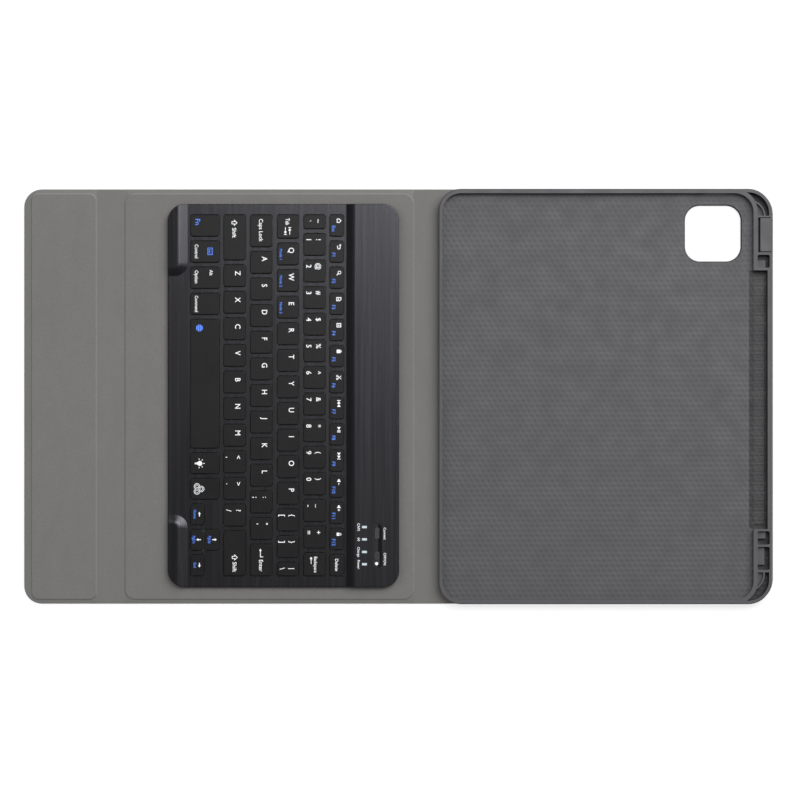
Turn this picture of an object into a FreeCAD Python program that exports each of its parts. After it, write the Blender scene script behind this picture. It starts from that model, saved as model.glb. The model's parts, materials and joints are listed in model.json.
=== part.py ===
import FreeCAD, Part
import math
import os

# A folding tablet keyboard case, lying open and flat, in millimetres.
# +X runs from the free flap towards the tablet tray, +Y is the long side of the
# tray and +Z is up. The origin is the middle of the underside.

Vector = FreeCAD.Vector

# ---- cover: leather outside, lining inside, a stiff board between ----
CASE_X = 519.4
CASE_Y = 287.4
LEATHER_T = 0.6
LINING_T = 0.4
BOARD_T = 1.0
BOARD_INSET = 1.0
LAMINATE_T = LEATHER_T + LINING_T
PANEL_T = LAMINATE_T + BOARD_T
HEM_X = 4.6
HEM_Y = 2.5
FLAP_BOARD_X = 46.1
STRIP_X = 18.8
FRONT_BOARD_X = 201.2
SPINE_X = 16.8
COVER_CORNER_R = 12.3
FRONT_BOARD_R = 7.7
FLAP_BOARD_R = 5.5
CREASE_HALF = 0.6

X_LEFT = -CASE_X / 2
X_RIGHT = CASE_X / 2
Y_HALF = CASE_Y / 2
FLAP_X0 = X_LEFT + HEM_X
FLAP_X1 = FLAP_X0 + FLAP_BOARD_X
FRONT_X0 = FLAP_X1 + STRIP_X
FRONT_X1 = FRONT_X0 + FRONT_BOARD_X
TRAY_X0 = FRONT_X1 + SPINE_X
BOARD_Y = Y_HALF - HEM_Y

# fold lines, named by the two stretches that they join
FOLD_FLAP = FLAP_X1 + CREASE_HALF
FOLD_STRIP = FRONT_X0 - CREASE_HALF
FOLD_FRONT = FRONT_X1 + CREASE_HALF
FOLD_BACK = TRAY_X0 - CREASE_HALF - 0.1

# ---- tray: soft moulded shell that grips the tablet ----
TABLET_X = 215.5
TABLET_Y = 281.6
TABLET_T = 5.1
TABLET_R = 13.0
TRAY_X1 = TRAY_X0 + 230.0
TRAY_Y = Y_HALF - 0.1
TRAY_R_NEAR = 15.0
TRAY_R_FAR = 16.0
COVER_R_FAR = 17.3
TRAY_Z = PANEL_T
FLOOR_T = 1.2
FLOOR_Z = TRAY_Z + FLOOR_T
LIP_Z = FLOOR_Z + TABLET_T + 0.1
LIP_T = 0.9
TRAY_TOP = LIP_Z + LIP_T
LIP_REACH = 0.5
RIM_ROUND = 0.9
POCKET_X0 = TRAY_X0 + 1.9
POCKET_X1 = POCKET_X0 + TABLET_X + 0.7
POCKET_Y = TABLET_Y / 2 + 0.2
INNER_WALL = 2.3
OUTER_WALL = 1.6
CELL_X0 = POCKET_X1 + INNER_WALL
CELL_X1 = TRAY_X1 - 1.2
CELL_FLOOR = TRAY_Z + 0.6
CELL_STEP = FLOOR_Z + 2.6
SLOT_X1 = TRAY_X1 - 2.6
SLOT_Y0 = -91.6
SLOT_Y1 = 87.3
SLOT_PAD_X1 = POCKET_X1 + 7.5
SLOT_PAD_Z = TRAY_Z + 0.9
VOLUME_Y0 = 100.1
VOLUME_Y1 = 123.5
VOLUME_GAP = 0.35
VOLUME_PROUD = 0.6
CAMERA_SIZE = 40.0
CAMERA_R = 11.0
CAMERA_INSET = 28.0
ABOVE = 20.0

# hollows in the tray's long wall: (y0, y1, raised block's reach, block's y0, block's y1)
WALL_CELLS = [(89.0, 98.0, 5.8, 88.0, 94.2), (-102.3, -93.1, 5.8, -98.3, -92.0),
              (-119.8, -103.9, 5.0, -116.4, -103.0)]
# hollows in the far corners: side, where they begin along Y, then the curved step's centre
# from the tray's near edge and from the middle, and its radius
CORNER_CELLS = [(1, 125.0, 214.4, 124.6, 11.4), (-1, 121.5, 213.0, 122.6, 12.4)]
SHORT_WALL = 2.4
STEP_WALL = 1.0

# openings in the tray's short walls: half width, and distance from the middle or corner
CHARGE_HALF = 7.5
POWER_FAR = 16.0
POWER_NEAR = 34.0
SPEAKER_HALF = 14.0
SPEAKER_SPOTS = (-68.0, 55.0)
OPENING_R = 2.2
SPEAKER_R = 1.4

# where the cover lies under the tray
BACK_X0 = FOLD_BACK + CREASE_HALF
BACK_RADII = (0, COVER_R_FAR, COVER_R_FAR, 0)
BACK_INSET = 0.3
BACK_RAISED = (TRAY_X0 + BACK_INSET, TRAY_X1 - BACK_INSET, TRAY_Y - BACK_INSET)
BACK_RAISED_R = (TRAY_R_NEAR, TRAY_R_FAR, TRAY_R_FAR, TRAY_R_NEAR)
FLAP_RADII = (COVER_CORNER_R, 0, 0, COVER_CORNER_R)

# ---- keyboard ----
KB_X = 160.1
KB_Y = 265.3
KB_X0 = FRONT_X0 + 30.5
KB_X1 = KB_X0 + KB_X
KB_MID_Y = 0.7
KB_Y0 = KB_MID_Y - KB_Y / 2
KB_Y1 = KB_MID_Y + KB_Y / 2
KB_R_NEAR = 12.0
KB_R_FAR = 11.4
KB_Z = PANEL_T
FOOT_T = 0.3
BASE_Z = KB_Z + FOOT_T
BASE_T = 0.8
CASE_Z = BASE_Z + BASE_T
SHEET_T = 0.15
MEMBRANE_Z = CASE_Z + SHEET_T
DOME_Z = MEMBRANE_Z + SHEET_T
DOME_T = 1.0
DECK_Z = KB_Z + 3.5
DECK_T = 1.2
HUMP_Z = KB_Z + 5.5
HUMP_FOOT = 123.5
HUMP_HEAD = 129.5
SLOPE_DEG = 25.0
CREST_R = 8.0
PAD_LENGTH = 50.0
PAD_X = 13.7
PAD_RISE = 1.9
PAD_SLOPE_DEG = 19.0
PAD_FALL_DEG = 3.0
PAD_CORNER_R = 9.0
CASE_ROUND = 0.55
KEY_TRAVEL = 1.5
KEY_SKIRT_Z = DOME_Z + KEY_TRAVEL + 0.05
KEY_ROOF_Z = DOME_Z + DOME_T + KEY_TRAVEL + 0.05
KEY_TOP_Z = KEY_ROOF_Z + 0.8
KEY_GAP = 3.3
KEY_PITCH = 18.42
KEY_R = 1.7
WINDOW_MARGIN = 0.5
KEYS_START = KB_Y1 - 7.6
TIGHT_PITCH = 18.08
RIGHT_PITCH = 17.66

# each row: near edge and far edge from the user's edge, then (node, cell width)
KEY_ROWS = [
    (112.0, 121.8, [("keys_function_row", TIGHT_PITCH)] * 14),
    (94.0, 109.1, [("key_backtick", 12.9)] + [("keys_number_row", KEY_PITCH)] * 12
     + [("key_backspace", 19.2)]),
    (75.7, 90.5, [("key_tab", 19.5)] + [("keys_letters_top", KEY_PITCH)] * 12
     + [("key_backslash", 12.6)]),
    (57.1, 72.2, [("key_caps_lock", 25.4)] + [("keys_letters_home", KEY_PITCH)] * 11
     + [("key_enter", 25.1)]),
    (38.6, 53.9, [("key_shift_left", 34.5)] + [("keys_letters_bottom", KEY_PITCH)] * 10
     + [("key_shift_right", 34.4)]),
    (15.7, 35.7, [("keys_modifiers_left", TIGHT_PITCH)] * 4 + [("key_space", 92.5)]
     + [("key_backlight", RIGHT_PITCH), ("key_colour", RIGHT_PITCH),
        ("key_left", RIGHT_PITCH), ("key_up_down", RIGHT_PITCH), ("key_right", RIGHT_PITCH)]),
]
SIDE_ARROW_FAR = 25.2
DOWN_ARROW_FAR = 24.1
UP_ARROW_NEAR = 25.5

# controls on the hump, from the user's edge (X) and in the case's own Y
TROUGH = (141.6, 148.2, -118.6, -87.9)
TROUGH_FLOOR_X = 145.5
TROUGH_DEPTH = 1.0
TROUGH_R = 3.0
CONNECT = (142.9, 146.5, -99.1, -90.4)
SWITCH_SLOT = (142.6, 146.8, -116.9, -107.1)
SWITCH_KNOB_Y = 6.2
LED_X = (134.4, 137.8)
LED_Y = (-90.3, -98.8, -107.5, -116.0)
LED_W = 1.6
PORT_Y = -101.0
PORT_W = 7.6
PORT_H = 2.6
PORT_Z = CASE_Z + 0.2
PORT_BACK = 150.6
PORT_SHEET = 0.4

# inside the keyboard, areas from the user's edge (X) and in the case's own Y
HUMP_ROOF = HUMP_Z - DECK_T
CASE_WALL = 1.6
CIRCUIT_AREA = (131.0, 157.0, -121.0, -72.0)
CIRCUIT_Z = CASE_Z + 0.3
CIRCUIT_T = 0.8
CONTROL_AREA = (140.4, 149.6, -121.6, -85.6)
CONTROL_ROOF = HUMP_ROOF - 0.4
SWITCH_TOP = CONTROL_ROOF - 0.7
TACT_AREA = (142.8, 146.8, -96.0, -92.0)
SLIDE_AREA = (142.4, 147.2, -116.5, -107.0)
BATTERY_AREA = (132.0, 156.0, -60.0, 60.0)
RIBBON_AREA = (124.0, 136.0, -80.0, -73.0)
SHEET_AREA = (14.0, 124.0, KB_Y0 + 5, KB_Y1 - 5)
DOME_R = 2.4
DOME_TOP_R = 1.3

# under the keyboard
SCREW_SPOTS = [(7.0, -120.0), (7.0, -40.0), (7.0, 40.0), (7.0, 120.0),
               (154.0, -126.0), (154.0, -66.0), (154.0, 66.0), (154.0, 126.0)]
POST_R = 2.2
SCREW_R = 0.7
SCREW_HEAD_R = 1.4
SCREW_HEAD_T = 0.4
SCREW_TOP = CASE_Z + 1.3
FEET = [(x, y) for x in (11.0, 140.0) for y in (-95.0, 0.0, 95.0)]
FOOT_X = 6.0
FOOT_Y = 30.0
STEEL_X = 10.0
STEEL_Y = 32.0
STEEL_T = 0.4

# magnets in the cover's boards
MAGNET_T = 0.6
MAGNET_Z = LEATHER_T + BOARD_T - MAGNET_T
MAGNET_X = 8.0
MAGNET_Y = 30.0
KB_MAGNETS = [(KB_X0 + x, y) for x in (22.0, 118.0) for y in (-95.0, 0.0, 95.0)]
FLAP_MAGNETS = [((FLAP_X0 + FLAP_X1) / 2, y) for y in (-105.0, -35.0, 35.0, 105.0)]
FLAP_MAGNET_R = 6.0
WAKE_SPOT = (FRONT_X0 + 9.0, 100.0)
WAKE_R = 4.0


# ---- shapes ----

def block(x0, x1, y0, y1, z0, z1):
    return Part.makeBox(x1 - x0, y1 - y0, z1 - z0, Vector(x0, y0, z0))


def outline(x0, x1, y0, y1, radii):
    """A closed outline; radii are for the corners x0y0, x1y0, x1y1 and x0y1."""
    corners = [(x0, y0, 1, 1), (x1, y0, -1, 1), (x1, y1, -1, -1), (x0, y1, 1, -1)]
    stops, arcs = [], []
    for number, ((x, y, dx, dy), r) in enumerate(zip(corners, radii)):
        along_y = Vector(x, y + dy * r, 0)
        along_x = Vector(x + dx * r, y, 0)
        entry, leave = (along_y, along_x) if number % 2 == 0 else (along_x, along_y)
        stops.append((entry, leave))
        reach = r * (1 - math.sqrt(0.5))
        middle = Vector(x + dx * reach, y + dy * reach, 0)
        arcs.append(Part.Arc(entry, middle, leave).toShape() if r > 0 else None)
    edges = []
    for number in range(4):
        if arcs[number]:
            edges.append(arcs[number])
        start, end = stops[number][1], stops[(number + 1) % 4][0]
        if start.distanceToPoint(end) > 1e-6:
            edges.append(Part.makeLine(start, end))
    return Part.Wire(edges)


def plate(x0, x1, y0, y1, z0, z1, radii):
    """A flat plate with round corners; radii is one radius or four."""
    if not isinstance(radii, tuple):
        radii = (radii,) * 4
    face = Part.Face(outline(x0, x1, y0, y1, radii))
    face.translate(Vector(0, 0, z0))
    return face.extrude(Vector(0, 0, z1 - z0))


def profile(points, y0, y1):
    """A prism along Y from (x, z) points."""
    wire = Part.makePolygon([Vector(x, y0, z) for x, z in points + points[:1]])
    return Part.Face(wire).extrude(Vector(0, y1 - y0, 0))


def slot_through_wall(x0, x1, z0, z1, y0, y1, r):
    """A round-ended opening that runs along Y."""
    shape = plate(x0, x1, z0, z1, -y1, -y0, r)
    shape.rotate(Vector(0, 0, 0), Vector(1, 0, 0), 90)
    return shape


def level_edges(shape, z):
    return [e for e in shape.Edges
            if abs(e.BoundBox.ZMin - z) < 1e-4 and abs(e.BoundBox.ZMax - z) < 1e-4]


def rod(x, y, z0, z1, r):
    return Part.makeCylinder(r, z1 - z0, Vector(x, y, z0))


# ---- cover ----

def leather_piece(x0, x1, radii):
    return plate(x0, x1, -Y_HALF, Y_HALF, 0, LEATHER_T, radii)


def board_piece(x0, x1, half_y, radii):
    """A board that lies inside the raised outline by the width of the lining's slope."""
    m = BOARD_INSET
    inner = tuple(r - m for r in radii) if isinstance(radii, tuple) else radii - m
    return plate(x0 + m, x1 - m, m - half_y, half_y - m, LEATHER_T, LEATHER_T + BOARD_T, inner)


def lining_piece(x0, x1, radii, raised=None, raised_radii=0):
    """Lining on the leather, lifted by the thickness of a board where there is one."""
    lining = plate(x0, x1, -Y_HALF, Y_HALF, LEATHER_T, LAMINATE_T, radii)
    if raised is None:
        return lining
    left, right, half_y = raised
    lifted = plate(left, right, -half_y, half_y, LEATHER_T, PANEL_T, raised_radii)
    return lining.fuse(lifted).removeSplitter().cut(board_piece(*raised, raised_radii))


def crease_piece(fold):
    return block(fold - CREASE_HALF, fold + CREASE_HALF, -Y_HALF, Y_HALF, 0, LAMINATE_T)


def camera_hole(z0, z1):
    x = POCKET_X1 - CAMERA_INSET
    y = POCKET_Y - CAMERA_INSET
    half = CAMERA_SIZE / 2
    return plate(x - half, x + half, y - half, y + half, z0, z1, CAMERA_R)


def bar_magnet(x, y):
    return block(x - MAGNET_X / 2, x + MAGNET_X / 2, y - MAGNET_Y / 2, y + MAGNET_Y / 2,
                 MAGNET_Z, MAGNET_Z + MAGNET_T)


def disc_magnet(x, y, r):
    return rod(x, y, MAGNET_Z, MAGNET_Z + MAGNET_T, r)


def front_board():
    board = board_piece(FRONT_X0, FRONT_X1, BOARD_Y, FRONT_BOARD_R)
    pockets = [bar_magnet(*spot) for spot in KB_MAGNETS] + [disc_magnet(*WAKE_SPOT, WAKE_R)]
    return board.cut(pockets)


def flap_board():
    board = board_piece(FLAP_X0, FLAP_X1, BOARD_Y, FLAP_BOARD_R)
    return board.cut([disc_magnet(x, y, FLAP_MAGNET_R) for x, y in FLAP_MAGNETS])


def with_camera_hole(piece):
    return piece.cut(camera_hole(-1, TRAY_Z + 1))


# ---- tray ----

def corner_cells(side, web_y, centre_x, centre_y, wall_r):
    """The hollow between the pocket's round corner and the outer one: a deep part
    and, inside a thin curved wall, a shallow part."""
    rim = plate(POCKET_X0, TRAY_X1 - OUTER_WALL, SHORT_WALL - TRAY_Y, TRAY_Y - SHORT_WALL,
                CELL_FLOOR, ABOVE, TRAY_R_FAR - OUTER_WALL)
    wall = plate(POCKET_X0 - INNER_WALL, CELL_X0, -POCKET_Y - INNER_WALL,
                 POCKET_Y + INNER_WALL, 0, ABOVE, TABLET_R + INNER_WALL)
    low, high = sorted((side * web_y, side * TRAY_Y))
    zone = block(POCKET_X1 - TABLET_R + 1, TRAY_X1, low, high, 0, ABOVE)
    hollow = rim.common(zone).cut(wall)
    x, y = TRAY_X0 + centre_x, side * centre_y
    deep = hollow.cut(rod(x, y, 0, ABOVE, wall_r))
    shallow = hollow.common(rod(x, y, CELL_STEP, ABOVE, wall_r - STEP_WALL))
    return [deep, shallow]


def wall_cell(y0, y1, reach, step_y0, step_y1):
    """A hollow in the long wall with a raised block at its inner side."""
    cell = plate(CELL_X0, CELL_X1, y0, y1, CELL_FLOOR, ABOVE, 1.2)
    raised = block(CELL_X0 - 1, CELL_X0 + reach, step_y0, step_y1, 0, CELL_STEP)
    return cell.cut(raised)


def stylus_slot():
    """A slot open to the pocket, with a raised pad and a trench along its far side."""
    end = 3.2
    deep_z = TRAY_Z + 0.3
    slot = plate(POCKET_X1 - 3, SLOT_X1, SLOT_Y0, SLOT_Y1, SLOT_PAD_Z, ABOVE, 0.8)
    trench = block(SLOT_PAD_X1, SLOT_X1, SLOT_Y0 + 0.4, SLOT_Y1 - 0.4, deep_z, ABOVE)
    ends = [block(POCKET_X1, SLOT_X1, low, low + end, deep_z, ABOVE)
            for low in (SLOT_Y0, SLOT_Y1 - end)]
    return [slot, trench] + ends


def wall_openings():
    """Charging opening in one short wall, power key in the other, loudspeakers in both."""
    mid_x = (POCKET_X0 + POCKET_X1) / 2
    low_z, high_z = FLOOR_Z + 0.3, LIP_Z - 0.1
    inner, outer = POCKET_Y - 1, TRAY_Y + 2
    openings = [
        slot_through_wall(mid_x - CHARGE_HALF, mid_x + CHARGE_HALF, low_z, high_z,
                          -outer, -inner, OPENING_R),
        slot_through_wall(POCKET_X1 - POWER_NEAR, POCKET_X1 - POWER_FAR, low_z, high_z,
                          inner, outer, OPENING_R)]
    for low, high in ((-outer, -inner), (inner, outer)):
        for x in SPEAKER_SPOTS:
            openings.append(slot_through_wall(
                mid_x + x - SPEAKER_HALF, mid_x + x + SPEAKER_HALF, FLOOR_Z + 1.0,
                FLOOR_Z + 4.0, low, high, SPEAKER_R))
    return openings


def tray_shell():
    shell = plate(TRAY_X0, TRAY_X1, -TRAY_Y, TRAY_Y, TRAY_Z, TRAY_TOP, BACK_RAISED_R)
    shell = shell.makeFillet(RIM_ROUND, level_edges(shell, TRAY_TOP))
    pocket = plate(POCKET_X0, POCKET_X1, -POCKET_Y, POCKET_Y, FLOOR_Z, LIP_Z,
                   TABLET_R + 0.3)
    mouth = plate(POCKET_X0 + LIP_REACH, POCKET_X1 - LIP_REACH, LIP_REACH - POCKET_Y - 0.1,
                  POCKET_Y - LIP_REACH + 0.1, LIP_Z - 0.1, ABOVE, TABLET_R)
    window = block(CELL_X0 + 0.3, ABOVE + TRAY_X1, VOLUME_Y0 - VOLUME_GAP,
                   VOLUME_Y1 + VOLUME_GAP, FLOOR_Z, ABOVE)
    cuts = [pocket, mouth, window, camera_hole(0, FLOOR_Z + 1)]
    cuts += [wall_cell(*cell) for cell in WALL_CELLS]
    for corner in CORNER_CELLS:
        cuts += corner_cells(*corner)
    return shell.cut(cuts + stylus_slot() + wall_openings())


def volume_button_pad():
    pad = plate(CELL_X0 + 1.7, TRAY_X1 + VOLUME_PROUD, VOLUME_Y0, VOLUME_Y1, FLOOR_Z + 0.2,
                TRAY_TOP - 0.1, 0.8)
    pad = pad.makeFillet(0.5, level_edges(pad, TRAY_TOP - 0.1))
    middle = (VOLUME_Y0 + VOLUME_Y1) / 2
    split = block(TRAY_X1, TRAY_X1 + 1, middle - 0.8, middle + 0.8, 0, ABOVE)
    return pad.cut(split)


# ---- keyboard ----

def key_places():
    """Node name to a list of (x0, x1, y0, y1), from the user's upper left key on."""
    places = {}
    for near, far, cells in KEY_ROWS:
        y = KEYS_START
        for name, width in cells:
            y0, y1 = y - (width - KEY_GAP), y
            if name == "key_up_down":
                places["key_down"] = [(near, DOWN_ARROW_FAR, y0, y1)]
                places["key_up"] = [(UP_ARROW_NEAR, far, y0, y1)]
            else:
                end = SIDE_ARROW_FAR if name in ("key_left", "key_right") else far
                places.setdefault(name, []).append((near, end, y0, y1))
            y -= width
    return {name: [(KB_X0 + a, KB_X0 + b, c, d) for a, b, c, d in spots]
            for name, spots in places.items()}


def keycap(x0, x1, y0, y1):
    cap = plate(x0, x1, y0, y1, KEY_SKIRT_Z, KEY_TOP_Z, KEY_R)
    cap = cap.makeFillet(0.4, level_edges(cap, KEY_TOP_Z))
    skirt = 0.9
    hollow = plate(x0 + skirt, x1 - skirt, y0 + skirt, y1 - skirt,
                   KEY_SKIRT_Z - 1, KEY_ROOF_Z, KEY_R - skirt)
    return cap.cut(hollow)


def key_window(x0, x1, y0, y1):
    m = WINDOW_MARGIN
    return plate(x0 - m, x1 + m, y0 - m, y1 + m, 0, ABOVE, KEY_R + m)


def key_windows(places):
    windows = []
    for name, spots in places.items():
        if name == "key_up":
            down = places["key_down"][0]
            up = spots[0]
            windows.append(key_window(down[0], up[1], up[2], up[3]))
        elif name != "key_down":
            windows += [key_window(*spot) for spot in spots]
    return windows


def upper_profile():
    """Height of the case along X: the flat deck, a slope up from a crisp line, and a soft
    crest into the hump."""
    slope = math.radians(SLOPE_DEG)
    rise = HUMP_Z - DECK_Z
    crest_rise = CREST_R * (1 - math.cos(slope))
    foot_x = KB_X0 + HUMP_FOOT
    crest_x = foot_x + (rise - crest_rise) / math.tan(slope)
    head_x = crest_x + CREST_R * math.sin(slope)
    crest = [Vector(head_x - CREST_R * math.sin(a), 0, HUMP_Z - CREST_R * (1 - math.cos(a)))
             for a in (slope, slope / 2, 0)]
    corners = [Vector(KB_X1, 0, HUMP_Z), Vector(KB_X1, 0, CASE_Z), Vector(KB_X0, 0, CASE_Z),
               Vector(KB_X0, 0, DECK_Z), Vector(foot_x, 0, DECK_Z), crest[0]]
    edges = [Part.Arc(*crest).toShape(), Part.makeLine(crest[2], corners[0])]
    edges += [Part.makeLine(p, q) for p, q in zip(corners, corners[1:])]
    return Part.Wire(edges)


def corner_pad(side):
    """A raised pad at a front corner of the case: its inner sides slope up from a crisp
    line to a soft crest, and its top falls a little towards the user."""
    beyond = 5.0
    inset = PAD_RISE / math.tan(math.radians(PAD_SLOPE_DEG))
    outer_y = KB_Y / 2 + beyond
    inner_y = KB_Y / 2 - PAD_LENGTH
    levels = []
    for m, z in ((-0.1 / math.tan(math.radians(PAD_SLOPE_DEG)), DECK_Z - 0.1),
                 (inset, DECK_Z + PAD_RISE)):
        radii = (0, PAD_CORNER_R - m, 0, 0)
        wire = outline(KB_X0 - beyond, KB_X0 + PAD_X - m, inner_y + m, outer_y, radii)
        wire.translate(Vector(0, 0, z))
        levels.append(wire)
    pad = Part.makeLoft(levels, True, True)
    crest_x = KB_X0 + PAD_X - inset
    fall = math.tan(math.radians(PAD_FALL_DEG))
    far_x = KB_X0 - beyond - 1
    top = DECK_Z + PAD_RISE
    keep = profile([(far_x, 0), (KB_X1, 0), (KB_X1, top), (crest_x, top),
                    (far_x, top - (crest_x - far_x) * fall)], 0, ABOVE * 10)
    pad = pad.common(keep)
    edges = []
    for edge in pad.Edges:
        spot = edge.valueAt((edge.FirstParameter + edge.LastParameter) / 2)
        inside = spot.x > KB_X0 - beyond + 0.1 and spot.y < outer_y - 0.1
        if inside and spot.z > DECK_Z + PAD_RISE / 2:
            edges.append(edge)
    pad = pad.makeFillet(CREST_R, edges)
    if side < 0:
        pad = pad.mirror(Vector(0, 0, 0), Vector(0, 1, 0))
    pad.translate(Vector(0, KB_MID_Y, 0))
    return pad


def case_block():
    """The outer form of the top case, with its upper rim rounded all the way round."""
    side = Part.Face(upper_profile())
    side.translate(Vector(0, KB_Y0 - 1, 0))
    upper = side.extrude(Vector(0, KB_Y + 2, 0)).fuse([corner_pad(1), corner_pad(-1)])
    radii = (KB_R_NEAR, KB_R_FAR, KB_R_FAR, KB_R_NEAR)
    shape = plate(KB_X0, KB_X1, KB_Y0, KB_Y1, CASE_Z, ABOVE, radii).common(upper)
    wall = outline(KB_X0, KB_X1, KB_Y0, KB_Y1, radii)
    rim = []
    for edge in shape.removeSplitter().Edges:
        spot = edge.valueAt((edge.FirstParameter + edge.LastParameter) / 2)
        level = Part.Vertex(Vector(spot.x, spot.y, 0))
        if spot.z > DECK_Z - 0.1 and wall.distToShape(level)[0] < 0.01:
            rim.append(edge)
    return shape.removeSplitter().makeFillet(CASE_ROUND, rim)


def in_keyboard(area, z0, z1, r):
    x0, x1, y0, y1 = area
    return plate(KB_X0 + x0, KB_X0 + x1, y0, y1, z0, z1, r)


def keyboard_top_case(places):
    wall = CASE_WALL
    low = plate(KB_X0 + PAD_X, KB_X1 - wall, KB_Y0 + wall, KB_Y1 - wall, 0,
                DECK_Z - DECK_T, KB_R_FAR - wall)
    high = plate(KB_X0 + HUMP_HEAD + wall, KB_X1 - wall, KB_Y0 + wall, KB_Y1 - wall, 0,
                 HUMP_ROOF, (1, KB_R_FAR - wall, KB_R_FAR - wall, 1))
    posts = [rod(KB_X0 + x, y, CASE_Z, HUMP_ROOF, POST_R)
             for x, y in SCREW_SPOTS if x > HUMP_HEAD]
    thick = in_keyboard(CONTROL_AREA, CONTROL_ROOF, HUMP_ROOF, 1.0)
    case = case_block().cut(trough()).cut([low, high.cut(thick)]).fuse(posts)
    holes = [rod(KB_X0 + x, y, 0, SCREW_TOP, SCREW_R) for x, y in SCREW_SPOTS]
    connect = in_keyboard(grown(CONNECT, 0.2), 0, ABOVE, 1.99)
    slide = in_keyboard(SWITCH_SLOT, 0, ABOVE, 2.0)
    leds = [in_keyboard(led_area(y), 0, ABOVE, 0.3) for y in LED_Y]
    port = block(KB_X1 - 3, KB_X1 + 1, PORT_Y - PORT_W / 2 - 0.3, PORT_Y + PORT_W / 2 + 0.3,
                 PORT_Z - 0.1, PORT_Z + PORT_H + 0.3)
    return case.cut(key_windows(places) + holes + leds + [connect, slide, port])


def trough():
    """A scoop round the two switches: steep at the back, rising gently to the front."""
    x0, x1, y0, y1 = TROUGH
    front, floor, back = (KB_X0 + x for x in (x0, TROUGH_FLOOR_X, x1))
    low = HUMP_Z - TROUGH_DEPTH
    corners = [Vector(front, y0, HUMP_Z), Vector(floor, y0, low), Vector(back, y0, HUMP_Z),
               Vector(back, y0, HUMP_Z + 1), Vector(front, y0, HUMP_Z + 1)]
    section = Part.Face(Part.makePolygon(corners + corners[:1]))
    scoop = section.extrude(Vector(0, y1 - y0, 0))
    return scoop.common(in_keyboard(TROUGH, 0, ABOVE, TROUGH_R))


def grown(area, m):
    return (area[0] - m, area[1] + m, area[2] - m, area[3] + m)


def led_area(y):
    return (LED_X[0], LED_X[1], y - LED_W / 2, y + LED_W / 2)


def foot(x, y):
    x += KB_X0
    return plate(x - FOOT_X / 2, x + FOOT_X / 2, y - FOOT_Y / 2, y + FOOT_Y / 2, KB_Z,
                 BASE_Z + 0.3, FOOT_X / 2 - 0.1)


def steel_plate(x, y):
    return block(x - STEEL_X / 2, x + STEEL_X / 2, y - STEEL_Y / 2, y + STEEL_Y / 2,
                 BASE_Z, BASE_Z + STEEL_T)


def keyboard_bottom_case():
    inset = 0.5
    near, far = KB_R_NEAR - inset, KB_R_FAR - inset
    base = plate(KB_X0 + inset, KB_X1 - inset, KB_Y0 + inset, KB_Y1 - inset, BASE_Z, CASE_Z,
                 (near, far, far, near))
    base = base.makeChamfer(0.4, level_edges(base, BASE_Z))
    cuts = [foot(*spot) for spot in FEET] + [steel_plate(*spot) for spot in KB_MAGNETS]
    for x, y in SCREW_SPOTS:
        cuts.append(rod(KB_X0 + x, y, 0, ABOVE, SCREW_R))
        cuts.append(rod(KB_X0 + x, y, 0, BASE_Z + 0.1 + SCREW_HEAD_T, SCREW_HEAD_R))
    return base.cut(cuts)


def case_screw(x, y):
    """A countersunk screw with a slot across its head."""
    x += KB_X0
    head_z = BASE_Z + 0.1
    head = rod(x, y, head_z, head_z + SCREW_HEAD_T, SCREW_HEAD_R)
    shank = rod(x, y, head_z + SCREW_HEAD_T / 2, SCREW_TOP, SCREW_R)
    return head.fuse(shank).cut(block(x - 1.0, x + 1.0, y - 0.2, y + 0.2, 0, head_z + 0.15))


def rubber_domes(places):
    return [Part.makeCone(DOME_R, DOME_TOP_R, DOME_T,
                          Vector((x0 + x1) / 2, (y0 + y1) / 2, DOME_Z))
            for spots in places.values() for x0, x1, y0, y1 in spots]


def circuit_board():
    board = in_keyboard(CIRCUIT_AREA, CIRCUIT_Z, CIRCUIT_Z + CIRCUIT_T, 1.0)
    half = PORT_W / 2 + 0.1
    return board.cut(block(KB_X0 + PORT_BACK - 0.2, KB_X1, PORT_Y - half, PORT_Y + half,
                           0, ABOVE))


def charging_port():
    """A sheet-metal shell with a flat tongue in its mouth."""
    half = PORT_W / 2
    wall = PORT_SHEET
    x0 = KB_X0 + PORT_BACK
    mouth_x = x0 + 2.4
    shell = block(x0, KB_X1 - 0.3, PORT_Y - half, PORT_Y + half, PORT_Z, PORT_Z + PORT_H)
    mouth = block(mouth_x, KB_X1, PORT_Y - half + wall, PORT_Y + half - wall,
                  PORT_Z + wall, PORT_Z + PORT_H - wall)
    tongue = block(mouth_x - 0.5, KB_X1 - 1.2, PORT_Y - 2.2, PORT_Y + 2.2, PORT_Z + 1.1,
                   PORT_Z + 1.7)
    return shell.cut(mouth).fuse(tongue).removeSplitter()


def connect_button():
    """A round-ended button with a flange that holds it under the case."""
    top = HUMP_Z + 0.05
    base = SWITCH_TOP + 0.35
    cap = in_keyboard(CONNECT, base, top, 1.79)
    cap = cap.makeFillet(0.35, level_edges(cap, top))
    flange = in_keyboard(grown(CONNECT, 0.7), base, CONTROL_ROOF - 0.05, 2.4)
    return cap.fuse(flange).removeSplitter()


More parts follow.
